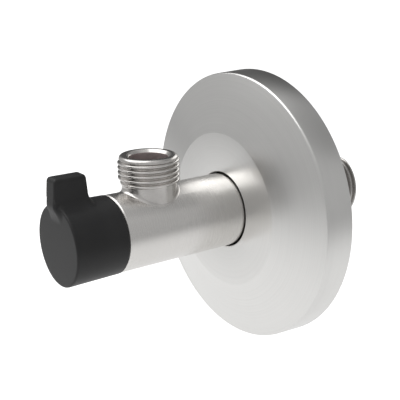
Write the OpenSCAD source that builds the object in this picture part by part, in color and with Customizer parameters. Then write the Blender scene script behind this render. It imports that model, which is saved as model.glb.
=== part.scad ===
// Angle valve with a quarter-turn ball, a lever knob on the front and a round wall flange.
// Everything is modelled along local Z, from the inlet end (0) towards the knob, and turned at the end
// so that the valve's axis lies along Y with the knob at -Y, and the outlet points up along +Z.
// Local Y is the way the outlet points, local X is across.

/* [Ball and seats] */
// diameter of the ball
ball_d = 14.6; // [12:0.1:18]
// clearance between the outlet seat and the seats on the valve's axis, which sets the waterway
seats_apart = 0.137; // [0.1:0.001:0.6]
// how far the straight hole is drilled past the cross hole's edge
drill_over = 0.3; // [0.1:0.05:0.6]
// width of the driving slot in the front of the ball
slot_w = 4; // [3:0.1:5]
// depth of the driving slot
slot_depth = 2.5; // [1.5:0.1:3.5]
// amount by which the two seats on the valve's axis are wider in radius than the waterway
seat_lip = 0.4; // [0.2:0.05:0.8]
// radial width of the band on which each seat touches the ball
seat_band = 1; // [0.5:0.1:1.6]
// thickness of the two seats on the valve's axis
seat_t = 2.8; // [1.5:0.1:4]
// amount by which the outlet seat is wider in radius than the waterway
outlet_seat_lip = 0.2; // [0.1:0.05:0.5]
// radial width of the outlet seat's band
outlet_seat_band = 0.8; // [0.4:0.1:1]
// flat rim of the outlet seat outside its band
outlet_seat_rim = 0.65; // [0.3:0.05:1]
// thickness of the outlet seat
outlet_seat_t = 2.8; // [1.5:0.1:4]
// clearance between a seat and the ball, and around each fixed inner piece
seat_gap = 0.05; // [0.02:0.01:0.1]
// clearance between the ball and the wall of its chamber
chamber_clear = 0.45; // [0.3:0.05:1]

/* [Valve body] */
// distance from the inlet end to the outlet's axis
outlet_at = 69.25; // [60:0.25:90]
// outside diameter of the inlet thread, half-inch pipe size
inlet_thread_d = 20.955; // [16.662:0.001:26.441]
// length of the inlet thread, with its end chamfer
inlet_thread_l = 14; // [9:0.5:20]
// chamfer on the end of the inlet thread
inlet_chamfer = 0.45; // [0.2:0.05:0.5]
// length of the run-out groove behind the inlet thread
relief_l = 2.5; // [1.5:0.1:4]
// depth of the run-out groove below the thread
relief_depth = 1.2; // [0.8:0.1:2]
// radial width of the ledge that the inlet seat rests on
seat_ledge = 1.75; // [1:0.05:2.5]
// outside diameter of the outlet thread, three-eighths pipe size
outlet_thread_d = 16.662; // [13.157:0.001:20.955]
// length of the outlet thread, with its end chamfer
outlet_thread_l = 6.7; // [5:0.1:10]
// chamfer on the end of the outlet thread
outlet_chamfer = 0.6; // [0.2:0.05:1]
// diameter of the smooth neck below the outlet thread
neck_d = 15.2; // [13:0.1:18]
// height of the neck between the tube and the thread
neck_l = 2.7; // [1.5:0.1:6]
// taper of the thread's lower end down to the neck
thread_runout = 0.35; // [0.2:0.05:0.5]
// chamfer round the mouth of the outlet bore
mouth_chamfer = 0.3; // [0.1:0.05:0.6]
// chamfer on the front edge of the tube
tube_chamfer = 0.5; // [0.2:0.05:1]
// wall of the front collar around the chamber
collar_wall = 1.45; // [1:0.05:3]
// length of the front collar under the knob
collar_l = 5.2; // [4:0.1:8]

/* [Outlet sleeve] */
// length of the sleeve that holds the outlet seat
sleeve_l = 4.4; // [3:0.1:6]
// wall of the sleeve
sleeve_wall = 1.28; // [0.8:0.02:2]
// clearance of the sleeve in the outlet bore
sleeve_gap = 0.02; // [0.01:0.01:0.05]
// chamfer in the mouth of the sleeve
sleeve_chamfer = 0.4; // [0.2:0.05:0.6]

/* [Bonnet and stem] */
// length of the bonnet's screwed plug
plug_l = 9.65; // [8:0.05:14]
// thickness of the bonnet's head
head_t = 3.05; // [2.4:0.05:5]
// amount by which the bonnet's head is smaller in radius than the collar
head_step = 0.3; // [0.1:0.05:0.8]
// depth of the two flats on the bonnet's head
head_flat_depth = 1; // [0.5:0.1:1.6]
// running clearance around the stem
stem_gap = 0.05; // [0.02:0.01:0.1]
// wall of the bonnet between its ring's groove and the bore for the stem's collar
bonnet_wall = 1; // [0.8:0.05:1.5]
// radial width of the step from the stem to its collar
collar_step = 1.55; // [1:0.05:2]
// thickness of the stem's collar
stem_collar_t = 2.5; // [1.5:0.1:4]
// distance from the bonnet's rear face to the stem's collar
collar_inset = 0.45; // [0.2:0.05:1]
// thickness of the thrust washer
washer_t = 0.9; // [0.5:0.1:1.5]
// clearance on each side of the tang in the ball's slot
tang_side = 0.075; // [0.05:0.005:0.15]
// clearance between the ends of the tang and the front seat's bore
tang_clear = 0.3; // [0.1:0.05:0.6]
// clearance at the end of the tang
tang_gap = 0.05; // [0.02:0.01:0.2]
// section diameter of the two rings in the stem
stem_ring_d = 1; // [0.8:0.05:1.4]
// width of the grooves for the stem's rings
stem_groove_w = 1.4; // [1.2:0.05:1.8]
// distance from the stem's collar to the first ring groove
first_groove = 2.2; // [1.8:0.1:3]
// distance between the two ring grooves
groove_pitch = 2.3; // [2:0.1:3]
// section diameter of the ring around the bonnet
bonnet_ring_d = 1.1; // [0.8:0.05:1.4]
// width of the groove for the bonnet's ring
bonnet_groove_w = 1.5; // [1.3:0.05:2]
// distance from the bonnet's rear face to its groove
bonnet_groove_at = 1.2; // [0.8:0.1:2]
// clearance of a sealing ring in its groove
ring_gap = 0.025; // [0.01:0.005:0.05]
// amount by which the square's corners stand in from the stem's surface
square_inset = 0.06; // [0.02:0.01:0.3]
// length of the square on the stem
square_l = 4.2; // [3:0.1:6]

/* [Knob] */
// gap between the knob and the front end of the tube
knob_gap = 0.15; // [0.1:0.05:0.5]
// clearance between the knob's skirt and the collar
skirt_clear = 0.45; // [0.3:0.05:1]
// wall of the knob's skirt at its rear edge
skirt_wall = 0.95; // [0.8:0.05:2]
// amount by which the knob stands out from the tube
knob_proud = 0.1; // [0:0.05:0.4]
// growth of the knob's radius from its rear edge to its front
knob_flare = 0.25; // [0:0.05:0.6]
// radius on the front edge of the knob
knob_round = 0.45; // [0.2:0.05:1]
// thickness of the knob's front wall
front_wall = 2.4; // [1.6:0.1:4]
// clearance between the bonnet's head and the knob's hub
hub_clear = 0.3; // [0.2:0.05:0.6]
// wall of the knob's hub at the corners of its square socket
hub_wall = 1.27; // [0.8:0.01:2]
// clearance on each side of the square in the hub
socket_gap = 0.1; // [0.05:0.01:0.2]
// clearance between the end of the stem and the knob
socket_end = 0.2; // [0.1:0.05:0.5]
// number of ribs between the hub and the skirt
rib_n = 6; // [4:1:8]
// thickness of each rib
rib_t = 1.2; // [0.8:0.1:2]
// height of the ribs
rib_h = 3.2; // [2:0.1:4]

/* [Lever] */
// height of the lever above the knob
lever_h = 7.4; // [5:0.1:20]
// thickness of the lever at its top
lever_t = 4.4; // [3:0.1:8]
// draft of the lever's sides in degrees
lever_draft = 0.5; // [0:0.1:4]
// length of the lever's top along the valve's axis, on the knob
lever_l = 8.1; // [5:0.1:12]
// lean of the lever's rear face in degrees
lever_lean = 7; // [0:0.5:12]
// amount by which the lever stands out in front of the knob's face
lever_proud = 0.9; // [0.2:0.05:2]
// radius of the lever's top rear corner
lever_rear_r = 1; // [0.3:0.1:3]
// radius of the lever's top front corner
lever_front_r = 0.9; // [0.3:0.1:2]
// radius along the lever's top edges
lever_edge_r = 0.7; // [0.2:0.1:1.2]
// fillet between the lever's sides and the knob
flank_fillet = 2; // [0.5:0.1:3]
// fillet behind the foot of the lever
foot_fillet = 2.2; // [0.5:0.1:3]
// how far the lever's front runs down over the knob's face
lever_run = 2.4; // [1.5:0.1:8]

/* [Quarter-turn stop] */
// middle of the stop lug, in degrees round the axis
lug_at = 225; // [200:1:230]
// width of the stop lug in degrees
lug_w = 20; // [14:1:30]
// turn allowed by the stop, in degrees
turn = 90; // [80:1:95]
// clearance at each end of the turn, in degrees
turn_gap = 1.5; // [1:0.5:3]
// radial depth of the stop notch in the bonnet's head
notch_depth = 1.5; // [1:0.1:2]
// height of the stop notch
notch_h = 1.55; // [1:0.05:2]
// clearance around the lug in the notch
lug_clear = 0.3; // [0.2:0.05:0.5]

/* [Wall flange] */
// distance from the inlet end to the wall
wall_at = 31.7; // [24:0.1:40]
// diameter of the flange at the wall
flange_d = 78.3; // [60:0.1:90]
// height of the flange's rim
rim_h = 8.1; // [4:0.1:12]
// taper of the rim over its height
rim_taper = 0.35; // [0:0.05:1]
// chamfer between the rim and the sloping front
rim_chamfer = 0.6; // [0.2:0.05:1.5]
// rise of the sloping front from the chamfer to the flat centre
slope_rise = 4.4; // [2:0.1:8]
// diameter of the flat centre
centre_d = 44.5; // [34:0.1:54]
// wall of the flange
flange_wall = 1.6; // [1:0.1:2.5]
// clearance between the flange's hole and the tube
hole_clear = 0.42; // [0.3:0.01:1.2]
// chamfer round the flange's hole
hole_chamfer = 0.24; // [0.1:0.01:0.5]
// length of the hub behind the flange's hole
flange_hub_l = 6.3; // [5:0.1:9]
// wall of that hub outside the grip ring's groove
flange_hub_wall = 1.1; // [0.8:0.1:2]
// section diameter of the grip ring
grip_d = 2.1; // [1.6:0.05:3]
// clearance between the grip ring and the tube
grip_clear = 0.05; // [0.02:0.01:0.1]
// width of the grip ring's groove
grip_groove_w = 2.3; // [1.9:0.05:3.4]
// wall behind the grip ring's groove
grip_back = 1.7; // [1:0.1:2.5]

/* [Hidden] */
$fn = 96;
eps = 0.02;
// how far a slanting side ends inside the rounding that it runs into
tuck = 0.004;

// radii
ball_r = ball_d / 2;
cup_r = ball_r + seat_gap;
// the waterway is as wide as the three seats around the ball leave room for
axis_edge = seat_lip + seat_band;
outlet_edge = outlet_seat_lip + outlet_seat_band + outlet_seat_rim + seats_apart;
edge_sum = axis_edge + outlet_edge;
edge_room = pow(cup_r, 2) - pow(axis_edge, 2) - pow(outlet_edge, 2);
port_r = (sqrt(pow(edge_sum, 2) + 2 * edge_room) - edge_sum) / 2;
seat_r = port_r + seat_lip;
outlet_seat_r = port_r + outlet_seat_lip;
outlet_bore_r = outlet_seat_r + outlet_seat_band + outlet_seat_rim + seat_gap;
chamber_r = ball_r + chamber_clear;
inlet_bore_r = chamber_r - seat_ledge;
sleeve_r = outlet_bore_r - sleeve_gap;
sleeve_bore_r = sleeve_r - sleeve_wall;
collar_r = chamber_r + collar_wall;
skirt_r = collar_r + skirt_clear;
knob_r = skirt_r + skirt_wall;
knob_front_r = knob_r + knob_flare;
tube_r = knob_r - knob_proud;
head_r = collar_r - head_step;
inlet_r = inlet_thread_d / 2;
outlet_r = outlet_thread_d / 2;
bonnet_groove_r = chamber_r - bonnet_ring_d - 2 * ring_gap;
bonnet_ring_r = chamber_r - ring_gap - bonnet_ring_d / 2;
collar_bore_r = bonnet_groove_r - bonnet_wall;
stem_collar_r = collar_bore_r - 2 * stem_gap;
stem_r = stem_collar_r - collar_step;
stem_bore_r = stem_r + stem_gap;
stem_groove_r = stem_bore_r - stem_ring_d - 2 * ring_gap;
square_w = (stem_r - square_inset) * sqrt(2);
socket_w = square_w + 2 * socket_gap;
hub_r = socket_w / sqrt(2) + hub_wall;
tang_r = seat_r - tang_clear;
tang_t = slot_w - 2 * tang_side;
head_flats = 2 * (head_r - head_flat_depth);

// places along the axis
seat_near = sqrt(pow(cup_r, 2) - pow(seat_r + seat_band, 2));
seat_far = seat_near + seat_t;
chamber_at = outlet_at - seat_far;
plug_at = outlet_at + seat_far;
collar_end = plug_at + plug_l;
tube_front = collar_end - collar_l;
head_end = collar_end + head_t;
stem_collar_at = plug_at + collar_inset;
stem_collar_end = stem_collar_at + stem_collar_t;
washer_at = stem_collar_end + stem_gap;
counterbore_end = washer_at + washer_t + stem_gap;
hub_at = head_end + hub_clear;
square_at = hub_at - hub_clear / 2;
stem_end = square_at + square_l;
web_at = stem_end + socket_end;
knob_front = web_at + front_wall;
knob_rear = tube_front + knob_gap;
lug_end = head_end - notch_h + lug_clear;
lug_r = head_r - notch_depth + lug_clear;
slot_at = outlet_at + ball_r - slot_depth;
tube_at = inlet_thread_l + relief_l;

// heights above the axis
outlet_top = tube_r + neck_l + outlet_thread_l;
thread_foot = tube_r + neck_l;
outlet_cup = sqrt(pow(cup_r, 2) - pow(outlet_seat_r + outlet_seat_band, 2));
sleeve_at = outlet_cup + outlet_seat_t;
sleeve_end = sleeve_at + sleeve_l;
lever_top = knob_r + lever_h;
lever_back = knob_front - lever_l;
lever_front = knob_front + lever_proud;

// flange places
rim_top = wall_at + rim_h;
slope_at = rim_top + rim_chamfer;
flange_front = slope_at + slope_rise;
rim_r = flange_d / 2;
rim_top_r = rim_r - rim_taper;
slope_r = rim_top_r - rim_chamfer;
hole_r = tube_r + hole_clear;
grip_mid = tube_r + grip_clear + grip_d / 2;
grip_groove_r = grip_mid + grip_d / 2 + grip_clear;
flange_hub_r = grip_groove_r + flange_hub_wall;
flange_hub_at = flange_front - flange_hub_l;

// turns local Z to the front (-Y) and local Y up (+Z)
module place() rotate([90, 0, 0]) children();

// a cylinder between two stations on the axis
module bar(r, from, to) translate([0, 0, from]) cylinder(r = r, h = to - from);

// a cone between two stations on the axis
module taper(r1, r2, from, to) translate([0, 0, from]) cylinder(r1 = r1, r2 = r2, h = to - from);

// moves and turns a piece drawn along Z from the ball's centre to point along the outlet
module on_outlet() translate([0, 0, outlet_at]) rotate([-90, 0, 0]) children();

// a straight ring of round section
module round_ring(mid_r, section_d, at) translate([0, 0, at]) rotate_extrude()
    translate([mid_r, 0]) circle(d = section_d);

// ---- valve body: inlet thread, tube, front collar and outlet neck in one casting
module body_outside() {
    taper(inlet_r - inlet_chamfer, inlet_r, 0, inlet_chamfer);
    bar(inlet_r, inlet_chamfer, inlet_thread_l - relief_depth);
    taper(inlet_r, inlet_r - relief_depth, inlet_thread_l - relief_depth, inlet_thread_l);
    bar(inlet_r - relief_depth, inlet_thread_l, tube_at + eps);
    taper(tube_r - tube_chamfer, tube_r, tube_at, tube_at + tube_chamfer);
    bar(tube_r, tube_at + tube_chamfer, tube_front - tube_chamfer);
    taper(tube_r, tube_r - tube_chamfer, tube_front - tube_chamfer, tube_front);
    bar(collar_r, tube_front - eps, collar_end);
    on_outlet() outlet_outside();
}

// outlet neck and thread, drawn from the ball's centre upwards
module outlet_outside() {
    bar(neck_d / 2, 0, thread_foot + thread_runout + eps);
    taper(neck_d / 2, outlet_r, thread_foot, thread_foot + thread_runout);
    bar(outlet_r, thread_foot + thread_runout, outlet_top - outlet_chamfer);
    taper(outlet_r, outlet_r - outlet_chamfer, outlet_top - outlet_chamfer, outlet_top);
}

module body_inside() {
    bar(inlet_bore_r, -1, chamber_at + 1);
    bar(chamber_r, chamber_at, collar_end + 1);
    on_outlet() {
        bar(outlet_bore_r, 0, outlet_top + 1);
        taper(outlet_bore_r, outlet_bore_r + mouth_chamfer, outlet_top - mouth_chamfer, outlet_top);
        bar(outlet_bore_r + mouth_chamfer, outlet_top, outlet_top + 1);
    }
}

module valve_body() color([0.72, 0.71, 0.69]) place() difference() {
    body_outside();
    body_inside();
}

// ---- ball with its bent waterway and the slot for the tang
module ball() color([0.85, 0.85, 0.86]) place() translate([0, 0, outlet_at]) difference() {
    sphere(r = ball_r);
    translate([0, 0, -ball_d]) cylinder(r = port_r, h = ball_d + port_r + drill_over);
    rotate([-90, 0, 0]) cylinder(r = port_r, h = ball_d);
    translate([-ball_d, -slot_w / 2, ball_r - slot_depth]) cube([2 * ball_d, slot_w, slot_depth + 1]);
}

// a seat drawn along Z from the ball's centre, cupped to the ball
module seat(bore_r, outer_r, near, thick) difference() {
    bar(outer_r, near, near + thick);
    bar(bore_r, 0, near + thick + 1);
    sphere(r = cup_r);
}

module inlet_seat() color([0.94, 0.94, 0.92]) place() translate([0, 0, outlet_at]) rotate([180, 0, 0])
    seat(seat_r, chamber_r - seat_gap, seat_near, seat_t);

module front_seat() color([0.94, 0.94, 0.92]) place() translate([0, 0, outlet_at])
    seat(seat_r, chamber_r - seat_gap, seat_near, seat_t);

module outlet_seat() color([0.94, 0.94, 0.92]) place() on_outlet()
    seat(outlet_seat_r, outlet_bore_r - seat_gap, outlet_cup, outlet_seat_t);

// ---- sleeve pressed into the outlet to hold its seat down
module outlet_seat_sleeve() color([0.80, 0.66, 0.38]) place() on_outlet() difference() {
    bar(sleeve_r, sleeve_at, sleeve_end);
    bar(sleeve_bore_r, 0, outlet_top);
    taper(sleeve_bore_r, sleeve_bore_r + sleeve_chamfer, sleeve_end - sleeve_chamfer, sleeve_end);
    bar(sleeve_bore_r + sleeve_chamfer, sleeve_end, sleeve_end + 1);
}

// ---- bonnet: the screwed plug that closes the front and carries the stem
module bonnet() color([0.80, 0.66, 0.38]) place() difference() {
    union() {
        bar(chamber_r - seat_gap, plug_at, collar_end);
        intersection() {
            bar(head_r, collar_end, head_end);
            translate([-head_r, -head_flats / 2, collar_end]) cube([2 * head_r, head_flats, head_t]);
        }
    }
    bar(stem_bore_r, plug_at - 1, head_end + 1);
    bar(collar_bore_r, plug_at - 1, counterbore_end);
    translate([0, 0, plug_at + bonnet_groove_at]) difference() {
        cylinder(r = chamber_r + 1, h = bonnet_groove_w);
        cylinder(r = bonnet_groove_r, h = bonnet_groove_w);
    }
    translate([0, 0, head_end - notch_h]) rotate([0, 0, lug_at - turn - lug_w / 2 - turn_gap])
        rotate_extrude(angle = turn + lug_w + 2 * turn_gap)
            translate([head_r - notch_depth, 0]) square([notch_depth + 1, notch_h + 1]);
}

module bonnet_ring() color([0.12, 0.12, 0.12]) place()
    round_ring(bonnet_ring_r, bonnet_ring_d, plug_at + bonnet_groove_at + bonnet_groove_w / 2);

// ---- stem: tang, collar, shaft with two ring grooves, and a square for the knob
groove_1 = stem_collar_end + first_groove;
groove_2 = groove_1 + groove_pitch;

module stem() color([0.80, 0.66, 0.38]) place() difference() {
    union() {
        intersection() {
            bar(tang_r, slot_at + tang_gap, stem_collar_at + eps);
            translate([-2 * tang_r, -tang_t / 2, slot_at])
                cube([4 * tang_r, tang_t, stem_collar_at - slot_at + 1]);
        }
        bar(stem_collar_r, stem_collar_at, stem_collar_end);
        bar(stem_r, stem_collar_end - eps, square_at);
        translate([-square_w / 2, -square_w / 2, square_at - eps]) cube([square_w, square_w, square_l + eps]);
    }
    for (g = [groove_1, groove_2]) translate([0, 0, g]) difference() {
        cylinder(r = stem_r + 1, h = stem_groove_w);
        cylinder(r = stem_groove_r, h = stem_groove_w);
    }
}

module thrust_washer() color([0.94, 0.94, 0.92]) place() difference() {
    bar(stem_collar_r, washer_at, washer_at + washer_t);
    bar(stem_bore_r, washer_at - 1, washer_at + washer_t + 1);
}

module inner_stem_ring() color([0.12, 0.12, 0.12]) place()
    round_ring(stem_bore_r - ring_gap - stem_ring_d / 2, stem_ring_d, groove_1 + stem_groove_w / 2);

module outer_stem_ring() color([0.12, 0.12, 0.12]) place()
    round_ring(stem_bore_r - ring_gap - stem_ring_d / 2, stem_ring_d, groove_2 + stem_groove_w / 2);

// ---- lever knob: one hollow moulding with a skirt, hub, ribs, stop lug and lever
// outline of the knob without its lever, in radius and distance from the rear edge
knob_l = knob_front - knob_rear;
round_c = [knob_front_r - knob_round, knob_l - knob_round];

module knob_outside() translate([0, 0, knob_rear]) rotate_extrude() union() {
    polygon([
        [0, 0],
        [knob_r, 0],
        [knob_front_r, knob_l - knob_round],
        round_c,
        [round_c[0], knob_l],
        [0, knob_l]
    ]);
    intersection() {
        translate(round_c) circle(r = knob_round);
        translate(round_c) square(knob_round);
    }
}

// the side line of the lever leans in by the draft; k is its distance from the origin
draft_n = [cos(lever_draft), sin(lever_draft)];
draft_u = [-sin(lever_draft), cos(lever_draft)];
side_k = lever_t / 2 * cos(lever_draft) + lever_top * sin(lever_draft);
edge_y = lever_top - lever_edge_r;
edge_x = (side_k - lever_edge_r - edge_y * sin(lever_draft)) / cos(lever_draft);
edge_c = [edge_x, edge_y];
edge_t = edge_c + (lever_edge_r - tuck) * draft_n;
fillet_k = side_k + flank_fillet;
fillet_m = sqrt(pow(knob_r + flank_fillet, 2) - pow(fillet_k, 2));
fillet_c = fillet_k * draft_n + fillet_m * draft_u;
fillet_t = fillet_c - flank_fillet * draft_n;
fillet_on_knob = fillet_c * knob_r / (knob_r + flank_fillet);
slab_foot = knob_r / 3;
side_foot = (side_k - slab_foot * sin(lever_draft)) / cos(lever_draft);

// cross-section of the lever: a slab with rounded top edges
module lever_slab() union() {
    polygon([
        [side_foot, slab_foot],
        edge_t,
        edge_c,
        [edge_x, lever_top],
        [-edge_x, lever_top],
        [-edge_x, edge_y],
        [-edge_t[0], edge_t[1]],
        [-side_foot, slab_foot]
    ]);
    for (m = [1, -1]) translate([m * edge_x, edge_y]) circle(r = lever_edge_r);
}

// the two fillets that run the lever's sides out into the knob
module lever_flanks() for (m = [0, 1]) mirror([m, 0]) difference() {
    polygon([
        [0, knob_r / 2],
        [0, fillet_t[1]],
        fillet_t,
        fillet_c,
        fillet_on_knob,
        [fillet_on_knob[0], knob_r / 2]
    ]);
    translate(fillet_c) circle(r = flank_fillet);
}

// side view of the lever, in height and distance along the axis
flank_end = knob_front - knob_round;
lean_rise = tan(lever_lean);
foot_end = lever_back - (lever_h - foot_fillet) * lean_rise - foot_fillet / cos(lever_lean);
foot_y = knob_r + knob_flare * (foot_end - knob_rear) / (knob_l - knob_round) - eps;
foot_up = foot_y + foot_fillet;
foot_c = [foot_up, lever_back - (lever_top - foot_up) * lean_rise - foot_fillet / cos(lever_lean)];
lean_n = [-sin(lever_lean), cos(lever_lean)];
foot_t = foot_c + foot_fillet * lean_n;
rear_c = [lever_top - lever_rear_r, lever_back + lever_rear_r * (1 / cos(lever_lean) - lean_rise)];
rear_t = rear_c - (lever_rear_r - tuck) * lean_n;
front_c = [lever_top - lever_front_r, lever_front - lever_front_r];

module lever_side() union() {
    polygon([
        [0, foot_t[1]],
        foot_t,
        rear_t,
        rear_c,
        [lever_top, rear_c[1]],
        [lever_top, front_c[1]],
        front_c,
        [front_c[0], lever_front],
        [knob_r - lever_proud, lever_front],
        [knob_r - lever_run, knob_front],
        [0, knob_front]
    ]);
    translate(rear_c) circle(r = lever_rear_r);
    translate(front_c) circle(r = lever_front_r);
    difference() {
        polygon([[0, foot_c[1]], foot_c, foot_t, [0, foot_t[1] + eps]]);
        translate(foot_c) circle(r = foot_fillet);
    }
}

module lever() intersection() {
    union() {
        translate([0, 0, foot_end]) linear_extrude(height = lever_front - foot_end) lever_slab();
        translate([0, 0, lever_back]) linear_extrude(height = flank_end - lever_back) lever_flanks();
    }
    translate([-knob_r, 0, 0]) rotate([90, 0, 90]) linear_extrude(height = 2 * knob_r) lever_side();
}

module lever_knob() color([0.16, 0.16, 0.17]) place() difference() {
    union() {
        difference() {
            knob_outside();
            bar(skirt_r, knob_rear - 1, web_at);
        }
        difference() {
            lever();
            bar(skirt_r, knob_rear - 1, web_at);
        }
        bar(hub_r, hub_at, web_at + eps);
        intersection() {
            for (i = [0:rib_n - 1]) rotate([0, 0, 360 / rib_n * (i + 0.5)])
                translate([0, -rib_t / 2, web_at - rib_h]) cube([knob_r, rib_t, rib_h + eps]);
            bar(skirt_r + eps, web_at - rib_h, web_at + eps);
        }
        // stop lug, which runs in the notch of the bonnet's head
        rotate([0, 0, lug_at - lug_w / 2]) translate([0, 0, lug_end])
            rotate_extrude(angle = lug_w)
                translate([lug_r, 0]) square([skirt_r - lug_r + eps, web_at - lug_end + eps]);
    }
    translate([-socket_w / 2, -socket_w / 2, hub_at - 1]) cube([socket_w, socket_w, web_at - hub_at + 1]);
}

// ---- wall flange: a thin turned rosette with a hub that carries the grip ring
module wall_flange() color([0.78, 0.78, 0.77]) place() rotate_extrude() difference() {
    polygon([
        [rim_r, wall_at],
        [rim_top_r, rim_top],
        [slope_r, slope_at],
        [centre_d / 2, flange_front],
        [hole_r + hole_chamfer, flange_front],
        [hole_r, flange_front - hole_chamfer],
        [hole_r, flange_hub_at],
        [flange_hub_r, flange_hub_at],
        [flange_hub_r, flange_front - flange_wall],
        [centre_d / 2, flange_front - flange_wall],
        [slope_r - flange_wall, slope_at - flange_wall],
        [rim_top_r - flange_wall, rim_top - flange_wall],
        [rim_r - flange_wall, wall_at]
    ]);
    translate([hole_r - 1, flange_hub_at + grip_back]) square([grip_groove_r - hole_r + 1, grip_groove_w]);
}

module grip_ring() color([0.12, 0.12, 0.12]) place()
    round_ring(grip_mid, grip_d, flange_hub_at + grip_back + grip_groove_w / 2);

valve_body();
ball();
inlet_seat();
front_seat();
outlet_seat();
outlet_seat_sleeve();
bonnet();
bonnet_ring();
stem();
thrust_washer();
inner_stem_ring();
outer_stem_ring();
lever_knob();
wall_flange();
grip_ring();
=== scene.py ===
"""Angle valve with a lever knob and a wall flange, dressed for its photograph.

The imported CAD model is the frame. The tube, the outlet, the lever knob and the flange get pieces
of their own, with cut threads, rolled fillets and fine edges. The other nodes keep their CAD
shapes and get procedural finishes.
"""

import logging
import math
from dataclasses import dataclass, field
from enum import Enum
from typing import Callable, Iterable, Sequence

import bpy
import numpy as np
from mathutils import Matrix, Vector


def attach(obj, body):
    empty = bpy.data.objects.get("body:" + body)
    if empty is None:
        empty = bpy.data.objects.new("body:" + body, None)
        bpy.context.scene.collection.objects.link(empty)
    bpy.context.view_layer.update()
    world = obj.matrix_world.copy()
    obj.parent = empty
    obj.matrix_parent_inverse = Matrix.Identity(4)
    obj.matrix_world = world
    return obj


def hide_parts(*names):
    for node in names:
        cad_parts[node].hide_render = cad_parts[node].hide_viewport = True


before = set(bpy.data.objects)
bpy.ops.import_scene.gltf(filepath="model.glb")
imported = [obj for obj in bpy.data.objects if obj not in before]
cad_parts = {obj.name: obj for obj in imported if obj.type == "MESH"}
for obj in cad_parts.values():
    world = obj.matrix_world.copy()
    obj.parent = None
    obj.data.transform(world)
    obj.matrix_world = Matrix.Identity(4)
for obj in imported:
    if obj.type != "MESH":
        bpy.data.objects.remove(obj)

LOG = logging.getLogger("angle_valve")
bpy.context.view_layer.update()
MM = 0.001
SAME = 1e-7  # vertices nearer than this are merged, in metres
LINE = tuple[float, float]
TRIPLE = tuple[float, float, float]
Solid = bpy.types.Object
Material = bpy.types.Material
Socket = bpy.types.NodeSocket


class Axis(Enum):
    """The two lines that round forms turn about."""

    VALVE = "Y"
    OUTLET = "Z"


class Join(Enum):
    """What a second solid does to the first."""

    CUT = "DIFFERENCE"
    ADD = "UNION"


@dataclass(frozen=True)
class Corner:
    """One corner of an outline, in millimetres.

    Args:
        r: distance from the axis.
        at: distance along the axis.
        round: radius of the corner, 0 for a sharp one.
    """

    r: float
    at: float
    round: float = 0.0


def ease(share: np.ndarray | float) -> np.ndarray | float:
    """Bends a share of 0 to 1 so that it starts and ends gently."""
    return share * share * (3 - 2 * share)


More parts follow.
